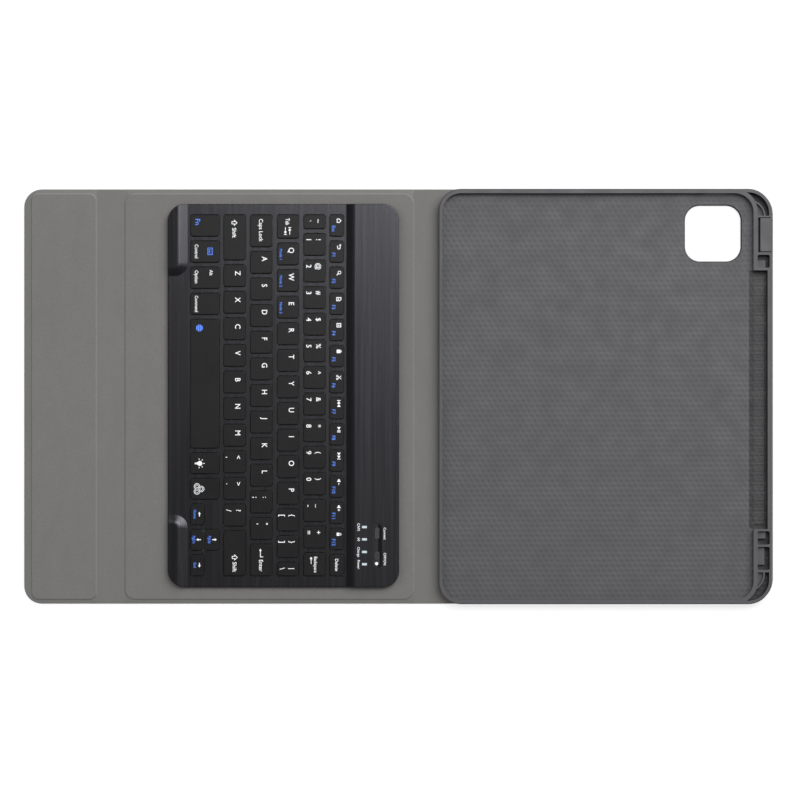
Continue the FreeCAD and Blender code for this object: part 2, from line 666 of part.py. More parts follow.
def power_switch():
    """A ribbed knob on a wider slider plate."""
    x0, x1, y0, y1 = SWITCH_SLOT
    top = HUMP_Z + 0.1
    gap = 0.2
    knob_y1 = y1 - gap
    knob_y0 = knob_y1 - SWITCH_KNOB_Y
    knob = in_keyboard((x0 + gap, x1 - gap, knob_y0, knob_y1), SWITCH_TOP + gap, top, 1.8)
    knob = knob.makeFillet(0.25, level_edges(knob, top))
    middle = (knob_y0 + knob_y1) / 2
    grooves = [in_keyboard((x0, x1, middle + i - 0.2, middle + i + 0.2), top - 0.3, ABOVE, 0)
               for i in (-1.6, -0.8, 0, 0.8, 1.6)]
    slider = in_keyboard((x0 - 0.5, x1 + 0.5, y0 - 0.3, y1 + 3.3), SWITCH_TOP + gap,
                         CONTROL_ROOF - 0.05, 0.5)
    return knob.cut(grooves).fuse(slider).removeSplitter()


def switch_body(area):
    return in_keyboard(area, CIRCUIT_Z + CIRCUIT_T, SWITCH_TOP, 0.3)


def build():
    places = key_places()
    parts = {
        "tray_shell": tray_shell(),
        "volume_button_pad": volume_button_pad(),
        "back_leather": with_camera_hole(leather_piece(BACK_X0, X_RIGHT, BACK_RADII)),
        "back_lining": with_camera_hole(lining_piece(BACK_X0, X_RIGHT, BACK_RADII,
                                                     BACK_RAISED, BACK_RAISED_R)),
        "back_board": with_camera_hole(board_piece(*BACK_RAISED, BACK_RAISED_R)),
        "back_crease": crease_piece(FOLD_BACK),
        "spine_leather": leather_piece(FOLD_FRONT + CREASE_HALF, FOLD_BACK - CREASE_HALF, 0),
        "spine_lining": lining_piece(FOLD_FRONT + CREASE_HALF, FOLD_BACK - CREASE_HALF, 0),
        "front_crease": crease_piece(FOLD_FRONT),
        "front_leather": leather_piece(FRONT_X0, FRONT_X1, 0),
        "front_board": front_board(),
        "front_lining": lining_piece(FRONT_X0, FRONT_X1, 0,
                                     (FRONT_X0, FRONT_X1, BOARD_Y), FRONT_BOARD_R),
        "keyboard_magnets": [bar_magnet(*spot) for spot in KB_MAGNETS],
        "sleep_wake_magnet": disc_magnet(*WAKE_SPOT, WAKE_R),
        "strip_crease": crease_piece(FOLD_STRIP),
        "strip_leather": leather_piece(FOLD_FLAP + CREASE_HALF, FOLD_STRIP - CREASE_HALF, 0),
        "strip_lining": lining_piece(FOLD_FLAP + CREASE_HALF, FOLD_STRIP - CREASE_HALF, 0),
        "flap_crease": crease_piece(FOLD_FLAP),
        "flap_leather": leather_piece(X_LEFT, FLAP_X1, FLAP_RADII),
        "flap_board": flap_board(),
        "flap_lining": lining_piece(X_LEFT, FLAP_X1, FLAP_RADII,
                                    (FLAP_X0, FLAP_X1, BOARD_Y), FLAP_BOARD_R),
        "flap_magnets": [disc_magnet(x, y, FLAP_MAGNET_R) for x, y in FLAP_MAGNETS],
        "keyboard_top_case": keyboard_top_case(places),
        "keyboard_bottom_case": keyboard_bottom_case(),
        "keyboard_steel_plates": [steel_plate(*spot) for spot in KB_MAGNETS],
        "keyboard_feet": [foot(*spot) for spot in FEET],
        "case_screws": [case_screw(*spot) for spot in SCREW_SPOTS],
        "backlight_sheet": in_keyboard(SHEET_AREA, CASE_Z, MEMBRANE_Z, 2),
        "switch_membrane": in_keyboard(SHEET_AREA, MEMBRANE_Z, DOME_Z, 2),
        "rubber_domes": rubber_domes(places),
        "membrane_ribbon": in_keyboard(RIBBON_AREA, MEMBRANE_Z, DOME_Z, 0),
        "battery": in_keyboard(BATTERY_AREA, CASE_Z + 0.1, HUMP_ROOF - 0.4, 1.5),
        "circuit_board": circuit_board(),
        "charging_port": charging_port(),
        "tact_switch": switch_body(TACT_AREA),
        "slide_switch_body": switch_body(SLIDE_AREA),
        "indicator_lenses": [in_keyboard(led_area(y), HUMP_ROOF, HUMP_Z, 0.3) for y in LED_Y],
        "connect_button": connect_button(),
        "power_switch": power_switch(),
    }
    for name, spots in places.items():
        parts[name] = [keycap(*spot) for spot in spots]
    return parts


def main():
    os.makedirs("parts", exist_ok=True)
    parts = build()
    for name, shape in parts.items():
        if isinstance(shape, list):
            shape = Part.makeCompound(shape)
        print(f"{name:24s} solids {len(shape.Solids):3d} volume {shape.Volume:10.1f}"
              f" valid {shape.isValid()}")
        shape.exportStep(f"parts/{name}.step")
    print(len(parts), "nodes; key travel", KEY_TRAVEL)
    print("folds", FOLD_BACK, FOLD_FRONT, FOLD_STRIP, FOLD_FLAP)


main()
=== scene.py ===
import bmesh
import bpy
import json
import math
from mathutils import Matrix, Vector


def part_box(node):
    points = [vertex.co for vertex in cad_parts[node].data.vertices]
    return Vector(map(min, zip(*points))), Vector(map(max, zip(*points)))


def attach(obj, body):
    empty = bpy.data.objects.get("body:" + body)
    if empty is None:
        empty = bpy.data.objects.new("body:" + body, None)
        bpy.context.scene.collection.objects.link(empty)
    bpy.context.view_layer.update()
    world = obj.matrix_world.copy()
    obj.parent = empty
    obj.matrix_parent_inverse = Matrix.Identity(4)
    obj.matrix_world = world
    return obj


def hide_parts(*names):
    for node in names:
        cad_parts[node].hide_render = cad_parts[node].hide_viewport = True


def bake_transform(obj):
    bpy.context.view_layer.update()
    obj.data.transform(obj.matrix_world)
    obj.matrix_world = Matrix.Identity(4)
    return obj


# A folding keyboard case for a large tablet, lying open and flat. Lengths are in
# millimetres until a mesh is made. +X runs from the free flap to the tablet tray, +Y
# along the tray and +Z up. The key legends read upright when seen from -X, so a
# legend's right is -Y and its top is +X.

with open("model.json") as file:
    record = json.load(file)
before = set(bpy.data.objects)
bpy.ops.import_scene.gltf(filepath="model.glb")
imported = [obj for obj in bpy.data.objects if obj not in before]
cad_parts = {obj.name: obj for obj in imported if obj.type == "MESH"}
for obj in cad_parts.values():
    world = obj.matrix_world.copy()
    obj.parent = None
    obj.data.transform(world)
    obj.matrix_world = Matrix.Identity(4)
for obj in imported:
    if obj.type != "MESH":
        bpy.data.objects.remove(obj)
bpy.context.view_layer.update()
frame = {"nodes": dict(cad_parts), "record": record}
scene = bpy.context.scene
MM = 0.001


def box_mm(node):
    """x0, y0, z0, x1, y1, z1 of a CAD node."""
    low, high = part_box(node)
    return [v / MM for v in (*low, *high)]


# ---- materials ----

# screen levels, red green blue, of the materials that cover most of the case
LINING = (97, 96, 94)
LEATHER = (74, 74, 77)
TRAY = (62, 62, 65)
CASE = (54, 54, 57)
KEYS = (12, 12, 13)

# the pocket's floor, and its dimples: their pitch, where their rims start and end as
# shares of it, and the heights above the floor over which they fade out
POCKET_Z = box_mm("tray_shell")[2] + 1.2
DIMPLE_PITCH = 4.0
DIMPLE_RIM = (0.24, 0.36)
DIMPLE_FADE = (0.05, 0.15)

# level faces deeper than this below the pocket's floor are the hollows, painted almost black
# as shade
HOLLOW_DEPTH = 0.15
HOLLOW_PAINTED_SHADE = 0.12


def linear(level):
    """A screen level, 0 to 255, as linear light."""
    value = level / 255
    return value / 12.92 if value <= 0.04045 else ((value + 0.055) / 1.055) ** 2.4


class Surface:
    """A Principled material that is built up with texture nodes. Feature sizes and
    depths are in mm. A texture's values from start to end become low to high."""

    def __init__(self, name, levels, roughness, **sockets):
        self.material = bpy.data.materials.new(name)
        self.material.use_nodes = True
        self.tree = self.material.node_tree
        self.shader = self.tree.nodes["Principled BSDF"]
        self.base = tuple(linear(v) for v in levels) + (1.0,)
        self.shader.inputs["Base Color"].default_value = self.base
        self.shader.inputs["Roughness"].default_value = roughness
        for socket, value in sockets.items():
            self.shader.inputs[socket.replace("_", " ")].default_value = value
        coordinates = self.add("ShaderNodeTexCoord").outputs
        self.place = coordinates["Object"]
        self.facing = coordinates["Normal"]
        self.colour = None
        self.normal = None

    def add(self, kind, inputs=None, **settings):
        """A node, with sockets linked or values set by input name or number."""
        made = self.tree.nodes.new(kind)
        for key, value in settings.items():
            setattr(made, key, value)
        for key, value in (inputs or {}).items():
            if isinstance(value, bpy.types.NodeSocket):
                self.tree.links.new(value, made.inputs[key])
            else:
                made.inputs[key].default_value = value
        return made

    def vector(self, operation, first, second=(0.0, 0.0, 0.0), result="Vector"):
        return self.add("ShaderNodeVectorMath", {0: first, 1: second},
                        operation=operation).outputs[result]

    def upwards(self, vector):
        return self.add("ShaderNodeSeparateXYZ", {"Vector": vector}).outputs["Z"]

    def scaled(self, size):
        """Place divided by a feature size, one for all axes or one for each."""
        sizes = size if isinstance(size, tuple) else (size,) * 3
        mapping = self.add("ShaderNodeMapping", {"Vector": self.place})
        mapping.inputs["Scale"].default_value = [1 / (s * MM) for s in sizes]
        return mapping.outputs["Vector"]

    def noise(self, size, detail=2.0):
        return self.add("ShaderNodeTexNoise", {
            "Vector": self.scaled(size), "Scale": 1.0, "Detail": detail}).outputs["Fac"]

    def cells(self, size, feature="F1"):
        return self.add("ShaderNodeTexVoronoi", {
            "Vector": self.scaled(size), "Scale": 1.0}, feature=feature).outputs["Distance"]

    def spread(self, value, low, high, start=0.3, end=0.7):
        return self.add("ShaderNodeMapRange", {
            "Value": value, "From Min": start, "From Max": end, "To Min": low,
            "To Max": high}).outputs["Result"]

    def tone(self, value, low, high, start=0.3, end=0.7):
        """Makes the colour darker or lighter with a texture."""
        factor = self.spread(value, low, high, start, end)
        scaled = self.add("ShaderNodeVectorMath", {"Scale": factor}, operation="SCALE")
        if self.colour is None:
            scaled.inputs[0].default_value = self.base[:3]
        else:
            self.tree.links.new(self.colour, scaled.inputs[0])
        self.colour = scaled.outputs["Vector"]
        self.tree.links.new(self.colour, self.shader.inputs["Base Color"])

    def rough(self, value, low, high):
        self.tree.links.new(self.spread(value, low, high), self.shader.inputs["Roughness"])

    def bump(self, value, depth, strength=0.5):
        """Relief on top of the relief made before."""
        made = self.add("ShaderNodeBump", {"Height": value, "Distance": depth * MM,
                                           "Strength": strength})
        if self.normal is not None:
            self.tree.links.new(self.normal, made.inputs["Normal"])
        self.normal = made.outputs["Normal"]
        self.tree.links.new(self.normal, self.shader.inputs["Normal"])


def lining_material():
    """Suede-like microfibre: fine fibres, softly brushed patches and a faint sheen. Slopes
    that face the +X +Y corner, where the key light stands, are painted lighter: a painted
    highlight."""
    made = Surface("lining_suede", LINING, 0.92, Sheen_Weight=0.25, Sheen_Roughness=0.5)
    fibres = made.noise(0.45, 3.0)
    nap = made.noise((9.0, 22.0, 9.0), 3.0)
    made.tone(fibres, 0.87, 1.13)
    made.tone(nap, 0.975, 1.025)
    made.tone(made.noise(90.0, 1.0), 0.985, 1.015)
    # painted highlight: slopes that face the +X +Y corner, towards the key light, are made up
    # to a third lighter
    lit_slope_highlight = made.vector("DOT_PRODUCT", made.facing, (1.0, 1.0, 0.0), "Value")
    made.tone(lit_slope_highlight, 1.0, 1.36, 0.05, 0.6)
    made.bump(fibres, 0.12, 0.6)
    made.bump(nap, 0.25, 0.15)
    return made.material


def leather_material():
    """Synthetic leather with a pebble grain, darker where it is pressed in round the
    boards and over the folds."""
    made = Surface("cover_leather", LEATHER, 0.55)
    pebbles = made.cells(1.1, "SMOOTH_F1")
    creases = made.noise(5.0, 4.0)
    made.tone(pebbles, 1.18, 0.78, 0.1, 0.8)
    made.tone(creases, 0.94, 1.06)
    made.tone(made.upwards(made.place), 1.08, 0.72, 0.04 * MM, 0.2 * MM)
    made.rough(made.noise(30.0), 0.44, 0.62)
    made.bump(pebbles, -0.16, 0.7)
    made.bump(creases, 0.2, 0.3)
    return made.material


def tray_material():
    """Soft matt thermoplastic, with rows of small round dimples in the pocket's floor, and
    painted shade that makes the level floors of the deep hollows beside it almost black."""
    made = Surface("tray_soft_plastic", TRAY, 0.58)
    skin = made.noise(0.35, 2.0)
    made.tone(made.noise(35.0, 2.0), 0.97, 1.03)
    made.rough(made.noise(12.0), 0.52, 0.64)
    made.bump(skin, 0.05, 0.5)
    rows = made.scaled((DIMPLE_PITCH, DIMPLE_PITCH * math.sqrt(3), 1.0))
    away = []
    for shift in (0.0, 0.5):
        moved = made.vector("ADD", rows, (shift, shift, 0.0))
        off = made.vector("SUBTRACT", made.vector("FRACTION", moved), (0.5, 0.5, 0.0))
        flat = made.vector("MULTIPLY", off, (1.0, math.sqrt(3), 0.0))
        away.append(made.vector("LENGTH", flat, result="Value"))
    nearest = made.add("ShaderNodeMath", {0: away[0], 1: away[1]},
                       operation="MINIMUM").outputs["Value"]
    dimple = made.spread(nearest, 0.0, 1.0, *DIMPLE_RIM)
    height = made.upwards(made.place)
    fade_from, fade_to = [(POCKET_Z + above) * MM for above in DIMPLE_FADE]
    on_floor = made.spread(height, 1.0, 0.0, fade_from, fade_to)
    pattern = made.add("ShaderNodeMix", {"Factor": on_floor, "A": 1.0, "B": dimple},
                       data_type="FLOAT").outputs["Result"]
    made.tone(pattern, 0.88, 1.0, 0.0, 1.0)
    made.bump(pattern, 0.15, 0.6)
    # painted shade: level faces below the pocket's floor are darkened almost to black, as
    # shade in the hollows
    deep = made.add("ShaderNodeMath", {0: height, 1: (POCKET_Z - HOLLOW_DEPTH) * MM},
                    operation="LESS_THAN").outputs["Value"]
    hollow_painted_shade = made.add("ShaderNodeMath", {0: made.upwards(made.facing), 1: deep},
                      operation="MULTIPLY")
    made.tone(hollow_painted_shade.outputs["Value"], 1.0, HOLLOW_PAINTED_SHADE, 0.5, 0.9)
    return made.material


def hairline_material():
    """Dark case with fine brushed lines that run along the rows of keys."""
    made = Surface("brushed_case", CASE, 0.27, Metallic=1.0)
    fine = made.noise((0.5, 60.0, 6.0), 2.0)
    broad = made.noise((2.2, 140.0, 20.0), 2.0)
    made.tone(fine, 0.90, 1.10)
    made.tone(broad, 0.93, 1.07)
    made.rough(broad, 0.25, 0.29)
    made.bump(fine, 0.012, 0.2)
    return made.material


def key_material():
    """Moulded keys with a fine spark-eroded texture."""
    made = Surface("key_plastic", KEYS, 0.38, Specular_IOR_Level=0.2)
    grain = made.noise(0.3, 2.0)
    made.tone(grain, 0.88, 1.12)
    made.rough(made.noise(14.0, 3.0), 0.34, 0.42)
    made.bump(grain, 0.03, 0.5)
    return made.material


def ink_material(name, levels):
    """Printed ink, a little uneven."""
    made = Surface(name, levels, 0.5)
    made.tone(made.noise(0.6, 2.0), 0.94, 1.0)
    return made.material


def metal_material(name, levels, roughness, brushed):
    """Metal with lines along Y that are as wide as brushed says."""
    made = Surface(name, levels, roughness, Metallic=1.0)
    lines = made.noise((brushed, 12.0, brushed), 2.0)
    made.rough(lines, roughness - 0.06, roughness + 0.08)
    made.tone(lines, 0.94, 1.04)
    made.bump(lines, 0.01, 0.4)
    return made.material


def plain_material(name, levels, roughness, size, depth, **sockets):
    """A plain part with a fine grain of the given size and depth."""
    made = Surface(name, levels, roughness, **sockets)
    grain = made.noise(size, 3.0)
    made.tone(grain, 0.9, 1.08)
    made.rough(made.noise(size * 8), roughness - 0.06, roughness + 0.06)
    made.bump(grain, depth, 0.5)
    return made.material


def membrane_material():
    """Printed film with conductor lines."""
    made = Surface("printed_film", (34, 35, 37), 0.3)
    lines = made.cells(7.0, "DISTANCE_TO_EDGE")
    made.tone(lines, 0.45, 1.05, 0.02, 0.06)
    made.bump(lines, 0.02, 0.4)
    return made.material


def circuit_material():
    """Solder mask over copper tracks."""
    made = Surface("solder_mask", (20, 78, 42), 0.32)
    tracks = made.cells((2.5, 4.0, 2.5), "DISTANCE_TO_EDGE")
    made.tone(tracks, 1.7, 0.85, 0.02, 0.06)
    made.bump(tracks, -0.04, 0.5)
    return made.material


materials = {
    "inner_lining": lining_material(),
    "outer_leather": leather_material(),
    "tray_plastic": tray_material(),
    "keyboard_case": hairline_material(),
    "key_plastic": key_material(),
    "board": plain_material("grey_board", (118, 104, 86), 0.85, 1.2, 0.08),
    "magnet": metal_material("nickel_plate", (178, 176, 170), 0.2, 0.8),
    "steel": metal_material("zinc_plate", (150, 152, 156), 0.32, 0.5),
    "port_metal": metal_material("stamped_steel", (160, 160, 162), 0.28, 0.3),
    "rubber_foot": plain_material("foot_rubber", (24, 24, 25), 0.75, 0.4, 0.04),
    "dome_rubber": plain_material("dome_silicone", (200, 198, 190), 0.45, 0.6, 0.02,
                                  Subsurface_Weight=0.3, Subsurface_Scale=0.001),
    "light_sheet": plain_material("light_guide", (236, 238, 240), 0.35, 2.0, 0.01),
    "membrane": membrane_material(),
    "battery_pouch": metal_material("foil_pouch", (158, 160, 166), 0.38, 3.0),
    "circuit_board": circuit_material(),
    "lens": plain_material("light_pipe", (206, 218, 224), 0.18, 0.8, 0.01,
                           Coat_Weight=0.5, Transmission_Weight=0.25),
}
white_ink = ink_material("white_ink", (232, 233, 236))
blue_ink = ink_material("blue_ink", (74, 122, 226))

button_plastic = plain_material("button_plastic", (27, 27, 29), 0.42, 0.3, 0.03)


def dress(node, material):
    """Gives a CAD node its material."""
    for holder in frame["nodes"][node].material_slots:
        holder.material = material


for part in frame["record"]["subparts"]:
    dress(part["node"], materials[part["material_slot"]])
for button in ("connect_button", "power_switch"):
    dress(button, button_plastic)


# ---- mesh helpers ----

SHARP_DEG = 32


def add_piece(name, verts, faces, material, slot, body=None):
    """A closed mesh, given in mm. Edges that bend by more than SHARP_DEG stay sharp."""
    mesh = bpy.data.meshes.new(name)
    mesh.from_pydata([Vector(v) * MM for v in verts], [], faces)
    work = bmesh.new()
    work.from_mesh(mesh)
    bmesh.ops.recalc_face_normals(work, faces=work.faces)
    work.to_mesh(mesh)
    work.free()
    mesh.shade_smooth()
    mesh.set_sharp_from_angle(angle=math.radians(SHARP_DEG))
    mesh.materials.append(material)
    piece = bpy.data.objects.new(name, mesh)
    scene.collection.objects.link(piece)
    if body:
        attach(piece, body)
    return piece


def ring(x0, x1, y0, y1, radii, z, steps=10):
    """A rounded rectangle, anticlockwise from corner x0 y0, with steps at each corner."""
    corners = [(x0, y0, 1, 1), (x1, y0, -1, 1), (x1, y1, -1, -1), (x0, y1, 1, -1)]
    points = []
    for number, ((x, y, dx, dy), r) in enumerate(zip(corners, radii)):
        for i in range(steps + 1):
            a = math.radians(180 + 90 * number + 90 * i / steps)
            points.append((x + dx * r + r * math.cos(a), y + dy * r + r * math.sin(a), z))
    return points


def loft(rings, closed=False):
    """Walls between successive rings, and a cap on the first and last or a closed loop."""
    n = len(rings[0])
    verts = [p for points in rings for p in points]
    count = len(rings)
    faces = []
    for k in range(count if closed else count - 1):
        a, b = k * n, (k + 1) % count * n
        faces += [[a + (i + 1) % n, a + i, b + i, b + (i + 1) % n] for i in range(n)]
    if not closed:
        faces += [list(range(n)), [(count - 1) * n + i for i in reversed(range(n))]]
    return verts, faces


def ease(t):
    """A soft step: 0 to 1, level at both ends."""
    return t * t * (3 - 2 * t)


def slab(flat_verts, flat_faces, z0, z1):
    """A closed solid from flat faces."""
    n = len(flat_verts)
    sides = {(a, b) for f in flat_faces for a, b in zip(f, f[1:] + f[:1])}
    verts = [(x, y, z1) for x, y in flat_verts] + [(x, y, z0) for x, y in flat_verts]
    faces = [list(f) for f in flat_faces] + [[i + n for i in reversed(f)] for f in flat_faces]
    faces += [[a + n, b + n, b, a] for a, b in sides if (b, a) not in sides]
    return verts, faces


def joined(solids):
    """Several solids as one mesh."""
    verts, faces = [], []
    for more_verts, more_faces in solids:
        start = len(verts)
        verts += more_verts
        faces += [[i + start for i in f] for f in more_faces]
    return verts, faces


# ---- cover: lining above, leather below ----

LINING_LOW = box_mm("spine_lining")[2]
LINING_TOP = box_mm("spine_lining")[5]
PANEL_TOP = box_mm("front_lining")[5]
BOARD_TOP = box_mm("front_board")[5]
HALF_Y = box_mm("front_lining")[4]
LENGTH = 2 * HALF_Y

# a panel goes on for SEAM past the foot of its slope, and keeps its corners this round
SEAM = 0.1
CORNER_MIN = 0.04

# the lining slopes down over BOARD_INSET outside each board's edge, its top is level from
# LEVEL_MARGIN inside that edge, and its underside steps up to the board within UNDERCUT
BOARD_INSET = 1.0
SLOPE_STEPS = 8
UNDERCUT = 0.05
LEVEL_MARGIN = 0.3

# the leather is pressed up round each board, EMBOSS high over EMBOSS_WIDTH
EMBOSS = 0.25
EMBOSS_WIDTH = 1.6

# (inset, depth below the top) round the cut edge of the lining, and (inset, height above
# the underside) round that of the leather
LINING_RIM = [(0.25, 0.0), (0.07, 0.07), (0.0, 0.25)]
LEATHER_RIM = [(0.0, 0.2), (0.06, 0.06), (0.2, 0.0)]

# a fold's layers are cut finely over BEND from their panel's seam, and are level from
# SHOULDER inside their cut edges
SHOULDER = 1.0
BEND = 2.0
BEND_STEPS = 24
LEVEL_STEPS = 4

# corner radii of the cover's two ends, and of the raised outline over each board
FLAP_RADIUS = 12.3
BACK_RADIUS = 17.3
RAISED_FLAP = (5.5,) * 4
RAISED_FRONT = (7.7,) * 4
RAISED_BACK = (15.0, 16.0, 16.0, 15.0)
SQUARE = (0.0,) * 4


class Panel:
    """One stiff stretch of the cover, on one body: its X ends, which of them are free (1)
    or go on into a fold (0), its corner radii, and the same for the raised outline over
    its board, as x0, x1 and half its width."""

    def __init__(self, name, body, ends, free, radii, raised, raised_radii):
        self.name, self.body = name, body
        self.ends, self.free, self.radii = ends, free, radii
        self.raised, self.raised_radii = raised, raised_radii

    def outer(self, inset, z):
        x0 = self.ends[0] + inset * self.free[0]
        x1 = self.ends[1] - inset * self.free[1]
        radii = [max(r - inset, CORNER_MIN) for r in self.radii]
        return ring(x0, x1, inset - HALF_Y, HALF_Y - inset, radii, z)

    def inner(self, inset, z):
        x0, x1, half = self.raised
        radii = [max(r - inset, CORNER_MIN) for r in self.raised_radii]
        return ring(x0 + inset, x1 - inset, inset - half, half - inset, radii, z)

    def lining(self):
        rise = PANEL_TOP - LINING_TOP
        rings = [self.inner(BOARD_INSET + LEVEL_MARGIN, PANEL_TOP)]
        for i in range(SLOPE_STEPS + 1):
            t = i / SLOPE_STEPS
            rings.append(self.inner(BOARD_INSET * (1 - t), PANEL_TOP - rise * ease(t)))
        rings += [self.outer(inset, LINING_TOP - drop) for inset, drop in LINING_RIM]
        rings += [self.outer(0.0, LINING_LOW),
                  self.inner(BOARD_INSET - UNDERCUT, LINING_LOW),
                  self.inner(BOARD_INSET, BOARD_TOP)]
        return loft(rings)

    def leather(self):
        rings = [self.outer(0.0, LINING_LOW)]
        rings += [self.outer(inset, EMBOSS + lift) for inset, lift in LEATHER_RIM]
        for i in range(SLOPE_STEPS + 1):
            t = i / SLOPE_STEPS
            rings.append(self.inner(EMBOSS_WIDTH * t, EMBOSS * (1 - ease(t))))
        rings.append(self.inner(EMBOSS_WIDTH + LEVEL_MARGIN, 0.0))
        return loft(rings)


def section(layer):
    """The cut across a fold, (y, z) round one layer, with the panels' rounded edges."""
    if layer == "lining":
        right = [(HALF_Y, LINING_LOW)]
        right += [(HALF_Y - inset, LINING_TOP - drop) for inset, drop in reversed(LINING_RIM)]
        right += [(HALF_Y - SHOULDER, LINING_TOP)]
    else:
        right = [(HALF_Y - SHOULDER, EMBOSS)]
        right += [(HALF_Y - inset, EMBOSS + lift) for inset, lift in reversed(LEATHER_RIM)]
        right += [(HALF_Y, LINING_LOW)]
    return right + [(-y, z) for y, z in reversed(right)]


def fold(name, layer, seam, middle, replaced):
    """One layer from a panel's seam to the middle of the stretch between two panels, cut
    finely over BEND from the seam."""
    way = 1 if middle > seam else -1
    stations = [seam + way * BEND * i / BEND_STEPS for i in range(BEND_STEPS + 1)]
    bent = stations[-1]
    stations += [bent + (middle - bent) * i / LEVEL_STEPS for i in range(1, LEVEL_STEPS + 1)]
    rings = [[(x, y, z) for y, z in section(layer)] for x in stations]
    verts, faces = loft(rings)
    slot = "inner_lining" if layer == "lining" else "outer_leather"
    piece = add_piece(name, verts, faces, materials[slot], slot)
    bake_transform(piece)
    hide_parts(*replaced)
    return piece


def raised_outline(board):
    """x0, x1 and half the width where the slope round a board ends."""
    x0, _, _, x1, half, _ = box_mm(board)
    return (x0 - BOARD_INSET, x1 + BOARD_INSET, half + BOARD_INSET)


flap_raised = raised_outline("flap_board")
front_raised = raised_outline("front_board")
back_raised = raised_outline("back_board")
back_ends = (box_mm("back_leather")[0], box_mm("back_leather")[3])
FLAP_SEAM = flap_raised[1] + SEAM
STRIP_SEAM = front_raised[0] - SEAM
FRONT_SEAM = front_raised[1] + SEAM
BACK_SEAM = back_ends[0]
STRIP_MIDDLE = (FLAP_SEAM + STRIP_SEAM) / 2
SPINE_MIDDLE = (FRONT_SEAM + BACK_SEAM) / 2

panels = [
    Panel("flap", "flap", (box_mm("flap_leather")[0], FLAP_SEAM), (1, 0),
          (FLAP_RADIUS, 0.0, 0.0, FLAP_RADIUS), flap_raised, RAISED_FLAP),
    Panel("front", "front_panel", (STRIP_SEAM, FRONT_SEAM), (0, 0), SQUARE, front_raised,
          RAISED_FRONT),
    Panel("back", "back", back_ends, (0, 1), (0.0, BACK_RADIUS, BACK_RADIUS, 0.0),
          back_raised, RAISED_BACK),
]
cover = {}
for panel in panels:
    for layer, slot, solid in (("lining", "inner_lining", panel.lining()),
                               ("leather", "outer_leather", panel.leather())):
        name = f"{panel.name}_{layer}_skin"
        cover[name] = add_piece(name, *solid, materials[slot], slot, panel.body)
        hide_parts(f"{panel.name}_{layer}")

# name, seam, middle, the panel's body, the body beyond the fold, and the CAD stretch and
# crease that the fold's two layers stand for
folds = [
    ("flap_fold", FLAP_SEAM, STRIP_MIDDLE, "flap", "flap_strip", "strip", "flap_crease"),
    ("strip_fold", STRIP_SEAM, STRIP_MIDDLE, "front_panel", "flap_strip", "strip",
     "strip_crease"),
    ("front_fold", FRONT_SEAM, SPINE_MIDDLE, "front_panel", "spine", "spine",
     "front_crease"),
    ("back_fold", BACK_SEAM, SPINE_MIDDLE, "back", "spine", "spine", "back_crease"),
]
for name, seam, middle, rigid, free, stretch, crease in folds:
    for layer in ("lining", "leather"):
        cover[f"{name}_{layer}"] = fold(f"{name}_{layer}", layer, seam, middle,
                                        [f"{stretch}_{layer}", crease])


# ---- camera opening ----

CAMERA_X = 217.9
CAMERA_Y = 113.0
CAMERA_HALF = 20.0
CAMERA_R = 11.0
CUT_FROM = -3.0
CUT_TO = 5.0

# (inset, z) round the rim of the opening, from its outside low edge
BEZEL = [(-0.4, 0.1), (-0.4, 0.5), (-0.4, 1.95), (0.1, 2.15), (0.5, 2.05), (0.7, 1.7),
         (0.7, 0.4), (0.5, 0.12), (0.0, 0.02)]


def camera_ring(inset, z):
    """The opening's rounded square."""
    half = CAMERA_HALF - inset
    return ring(CAMERA_X - half, CAMERA_X + half, CAMERA_Y - half, CAMERA_Y + half,
                (CAMERA_R - inset,) * 4, z)


def cut_camera_hole(piece):
    """Cuts the rounded opening through a skin and applies the cut."""
    verts, faces = loft([camera_ring(0.0, CUT_TO), camera_ring(0.0, CUT_FROM)])
    cutter = add_piece("camera_cutter", verts, faces, materials["inner_lining"],
                       "inner_lining")
    cut = piece.modifiers.new("opening", "BOOLEAN")
    cut.operation = "DIFFERENCE"
    cut.solver = "EXACT"
    cut.object = cutter
    view = bpy.context.evaluated_depsgraph_get()
    mesh = bpy.data.meshes.new_from_object(piece.evaluated_get(view))
    piece.modifiers.clear()
    piece.data = mesh
    bpy.data.objects.remove(cutter)


for name in ("back_lining_skin", "back_leather_skin"):
    cut_camera_hole(cover[name])

verts, faces = loft([camera_ring(inset, z) for inset, z in reversed(BEZEL)], closed=True)
add_piece("camera_bezel", verts, faces, materials["tray_plastic"], "tray_plastic", "back")


def lost_at_corner(radius):
    """The area that rounding takes from one corner."""
    return (1 - math.pi / 4) * radius ** 2


# Each layer of the cover is a sheet, glued flat over its board. The flat area of each panel's
# sheet, less its rounded corners and, on the back, the camera opening.
for panel in panels:
    width = panel.ends[1] - panel.ends[0]
    area = width * LENGTH - sum(lost_at_corner(r) for r in panel.radii)
    if panel.name == "back":
        area -= (2 * CAMERA_HALF) ** 2 - 4 * lost_at_corner(CAMERA_R)


# ---- ribs in the stylus slot ----

RIB_PITCH = 1.0
RIB_HALF = 0.27
RIB_X = (246.3, 253.3)
RIB_Y = (-88.0, 83.8)
RIB_Z = (2.85, 3.12)
RIB_EDGE = 0.1


def rib(y):
    """One rib across the slot, with a bevelled top."""
    x0, x1 = RIB_X
    z0, z1 = RIB_Z
    radii = (RIB_EDGE,) * 4
    half = RIB_HALF - RIB_EDGE
    low = ring(x0, x1, y - RIB_HALF, y + RIB_HALF, radii, z0, steps=2)
    waist = ring(x0, x1, y - RIB_HALF, y + RIB_HALF, radii, z1 - RIB_EDGE, steps=2)
    top = ring(x0 + RIB_EDGE, x1 - RIB_EDGE, y - half, y + half, (RIB_EDGE / 2,) * 4, z1,
               steps=2)
    return loft([top, waist, low])


